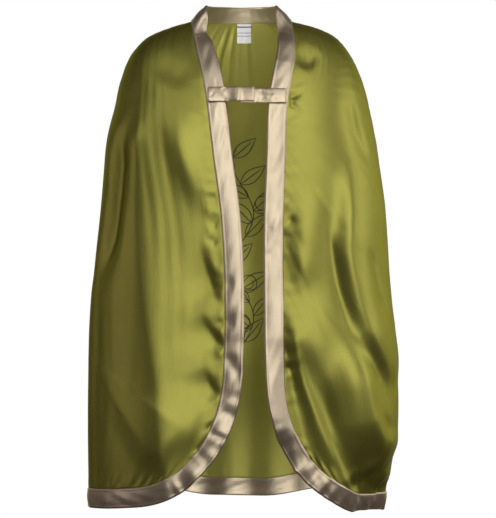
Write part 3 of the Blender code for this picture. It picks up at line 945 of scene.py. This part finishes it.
def print_object(rng, points, normals):
    verts, faces = [], []
    for line in print_lines(rng):
        angle, share = back_place(line[:, 0] / MM, line[:, 1] / MM)
        centre, out = on_back(points, angle, share), on_back(normals, angle, share)
        side = unit(np.cross(np.gradient(centre, axis=0), out))
        run = np.linspace(0, 1, len(line))
        taper = LINE_TIP + (1 - LINE_TIP) * np.sin(math.pi * run) ** 0.5
        half = PRINT_WIDTH / (2 * MM) * taper[:, None]
        proud = BODY_WALL / 2 + PRINT_PROUD
        ring = np.stack(
            [
                centre - side * half + out * proud,
                centre + side * half + out * proud,
                centre + side * half - out * proud,
                centre - side * half - out * proud,
            ],
            axis=1,
        )
        first = sum(len(v) for v in verts)
        block = grid_faces(len(line), 4, closed_columns=True)
        block += [[0, 1, 2, 3], [(len(line) - 1) * 4 + k for k in (3, 2, 1, 0)]]
        faces += [[first + k for k in face] for face in block]
        verts.append(ring.reshape(-1, 3))
    return mesh_object("back_print", np.concatenate(verts), faces)


# Materials


def new_material(name, roughness):
    made = bpy.data.materials.new(name)
    made.use_nodes = True
    shader = made.node_tree.nodes["Principled BSDF"]
    shader.inputs["Roughness"].default_value = roughness
    return made, made.node_tree.nodes, made.node_tree.links, shader


def noise(nodes, links, vector, scale, detail=3.0):
    made = nodes.new("ShaderNodeTexNoise")
    made.inputs["Scale"].default_value = scale
    made.inputs["Detail"].default_value = detail
    links.new(vector, made.inputs["Vector"])
    return made.outputs["Fac"]


def ramp(nodes, links, value, stops):
    made = nodes.new("ShaderNodeValToRGB")
    while len(made.color_ramp.elements) < len(stops):
        made.color_ramp.elements.new(0.5)
    for element, (position, colour) in zip(made.color_ramp.elements, stops):
        element.position = position
        element.color = (*colour, 1)
    links.new(value, made.inputs["Fac"])
    return made.outputs["Color"]


def tones(colour, spread):
    shades = (1 - spread, 1 + spread)
    return [(stop, [c * shade for c in colour]) for stop, shade in zip(TONE_STOPS, shades)]


def vary(nodes, links, value, middle, spread, socket):
    made = nodes.new("ShaderNodeMapRange")
    made.inputs["To Min"].default_value = middle - spread
    made.inputs["To Max"].default_value = middle + spread
    links.new(value, made.inputs["Value"])
    links.new(made.outputs["Result"], socket)


def bump(nodes, links, height, strength, distance, shader):
    made = nodes.new("ShaderNodeBump")
    made.inputs["Strength"].default_value = strength
    made.inputs["Distance"].default_value = distance
    links.new(height, made.inputs["Height"])
    links.new(made.outputs["Normal"], shader.inputs["Normal"])


def stretched(nodes, links, vector, scale):
    made = nodes.new("ShaderNodeMapping")
    made.inputs["Scale"].default_value = scale
    links.new(vector, made.inputs["Vector"])
    return made.outputs["Vector"]


def satin(kind):
    """Satin: tinted gloss that wanders a little, over fine threads that float along the cloth."""
    made, nodes, links, shader = new_material(kind.name, kind.roughness)
    place = nodes.new("ShaderNodeTexCoord")
    tone = noise(nodes, links, place.outputs["Object"], TONE_SCALE)
    links.new(ramp(nodes, links, tone, tones(kind.colour, TONE_SPREAD)), shader.inputs["Base Color"])
    gloss = noise(nodes, links, place.outputs["Object"], GLOSS_SCALE)
    vary(nodes, links, gloss, kind.roughness, GLOSS_SPREAD, shader.inputs["Roughness"])
    along = stretched(nodes, links, place.outputs["UV"], FLOAT_STRETCH)
    floats = noise(nodes, links, along, 1.0, FLOAT_DETAIL)
    bump(nodes, links, floats, FLOAT_STRENGTH, FLOAT_HEIGHT, shader)
    shader.inputs["Metallic"].default_value = kind.gloss_share
    tint = [EDGE_TINT + EDGE_TINT_SHARE * c for c in kind.colour]
    shader.inputs["Specular Tint"].default_value = (*tint, 1)
    return made


def tape():
    """White woven tape with plain purple lines across it."""
    made, nodes, links, shader = new_material("label_tape", TAPE_ROUGHNESS)
    place = nodes.new("ShaderNodeTexCoord")
    split = nodes.new("ShaderNodeSeparateXYZ")
    links.new(place.outputs["UV"], split.inputs["Vector"])
    share = nodes.new("ShaderNodeMapRange")
    share.inputs["From Max"].default_value = LABEL_HEIGHT
    links.new(split.outputs["Y"], share.inputs["Value"])
    stops = [(0.0, TAPE_WHITE)]
    for start, end, colour in TAPE_LINES:
        stops += [(start - TAPE_BLUR, TAPE_WHITE), (start, colour)]
        stops += [(end, colour), (end + TAPE_BLUR, TAPE_WHITE)]
    links.new(ramp(nodes, links, share.outputs["Result"], stops), shader.inputs["Base Color"])
    weave = stretched(nodes, links, place.outputs["UV"], TAPE_STRETCH)
    bump(nodes, links, noise(nodes, links, weave, 1.0, TAPE_DETAIL), TAPE_STRENGTH, TAPE_HEIGHT, shader)
    return made


def plain(kind):
    """A matt material whose tone wanders."""
    made, nodes, links, shader = new_material(kind.name, kind.roughness)
    place = nodes.new("ShaderNodeTexCoord")
    value = noise(nodes, links, place.outputs["Object"], kind.scale)
    links.new(ramp(nodes, links, value, tones(kind.colour, kind.spread)), shader.inputs["Base Color"])
    vary(nodes, links, value, kind.roughness, MATT_SPREAD, shader.inputs["Roughness"])
    return made


# Camera, light and stage


def look_at(item, target):
    item.rotation_euler = (Vector(target) - item.location).to_track_quat("-Z", "Y").to_euler()


def area_light(kind):
    light = bpy.data.lights.new(kind.name, "AREA")
    light.shape = "RECTANGLE"
    light.size, light.size_y = kind.size
    light.energy = kind.power
    light.color = kind.colour
    item = bpy.data.objects.new(kind.name, light)
    item.location = kind.at
    item.visible_camera = False
    bpy.context.scene.collection.objects.link(item)
    look_at(item, kind.target)


def set_camera():
    camera = bpy.data.objects.new("camera", bpy.data.cameras.new("camera"))
    camera.location = CAMERA_AT
    camera.rotation_euler = (math.pi / 2, 0, 0)
    camera.data.lens = LENS
    camera.data.sensor_width = SENSOR
    bpy.context.scene.collection.objects.link(camera)
    bpy.context.scene.camera = camera
    bpy.context.scene.view_settings.view_transform = "Standard"


def set_world():
    """White behind the part for the camera, and dim for all else."""
    world = bpy.data.worlds.new("studio")
    world.use_nodes = True
    nodes, links = world.node_tree.nodes, world.node_tree.links
    dim = nodes["Background"]
    dim.inputs["Color"].default_value = DIM_COLOUR
    dim.inputs["Strength"].default_value = DIM_STRENGTH
    white = nodes.new("ShaderNodeBackground")
    white.inputs["Strength"].default_value = 1.0
    white.inputs["Color"].default_value = (1, 1, 1, 1)
    path = nodes.new("ShaderNodeLightPath")
    pick = nodes.new("ShaderNodeMixShader")
    links.new(path.outputs["Is Camera Ray"], pick.inputs["Fac"])
    links.new(dim.outputs["Background"], pick.inputs[1])
    links.new(white.outputs["Background"], pick.inputs[2])
    links.new(pick.outputs["Shader"], nodes["World Output"].inputs["Surface"])
    bpy.context.scene.world = world


def set_stage():
    set_camera()
    for kind in LIGHTS:
        area_light(kind)
    set_world()
    bpy.ops.mesh.primitive_plane_add(size=FLOOR_SIZE, location=(0, 0, FLOOR_Z))
    floor = bpy.context.object
    floor.name = "floor"
    floor.data.materials.append(plain(FLOOR))
    floor.visible_glossy = False


def dress(piece, material, slot, *nodes):
    """Gives a piece its material and fixes it to the body, in place of the nodes that it stands for."""
    piece.data.materials.append(material)
    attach(piece, "root")
    if nodes:
        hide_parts(*nodes)


def main():
    set_stage()
    rng = np.random.default_rng(SEED)
    green = satin(GREEN)
    gold = satin(GOLD)
    points, normals = body_grid(rng)
    body = sheet_object("body_cloth", points, BODY_WALL)
    dress(body, green, "green_satin", "cape_body")
    # The inside takes the duller reverse satin, whose lighter colour is painted light on the shaded inside.
    body.data.materials.append(satin(GREEN_BACK_PAINTED_LIGHT))
    body.modifiers["wall"].material_offset = 1

    rings, up = edge_band(rng, points, normals)
    band = strip_object("edge_band", rings, closed=True)
    dress(band, gold, "gold_satin", "neck_band", "front_band_left", "front_band_right", "hem_band")
    outer = stitches(rings[:, STITCH_STEP], up, closed=True)
    inner = stitches(rings[:, -STITCH_STEP], -up, closed=True)
    rows = [outer, inner]

    for tab in (LEFT_TAB, RIGHT_TAB):
        strip = tab_rings(rng, tab, rings)
        made = strip_object(tab.name, strip, closed=False)
        dress(made, gold, "gold_satin", tab.node)
        sewn = strip[TAB_SEWN if tab is LEFT_TAB else -1 - TAB_SEWN, TAB_SEWN: TAB_STEPS - TAB_SEWN + 1]
        rows.append(stitches(sewn, np.tile(FORWARD, (len(sewn), 1))))

    label_points = label_grid(points, normals)
    label = sheet_object("label", label_points, LABEL_WALL)
    dress(label, tape(), "label_tape", "neck_label")

    thread = thread_object("sewing", rows)
    dress(thread, plain(THREAD), "gold_satin")
    ink = print_object(rng, points, normals)
    dress(ink, plain(INK), "green_satin")


main()
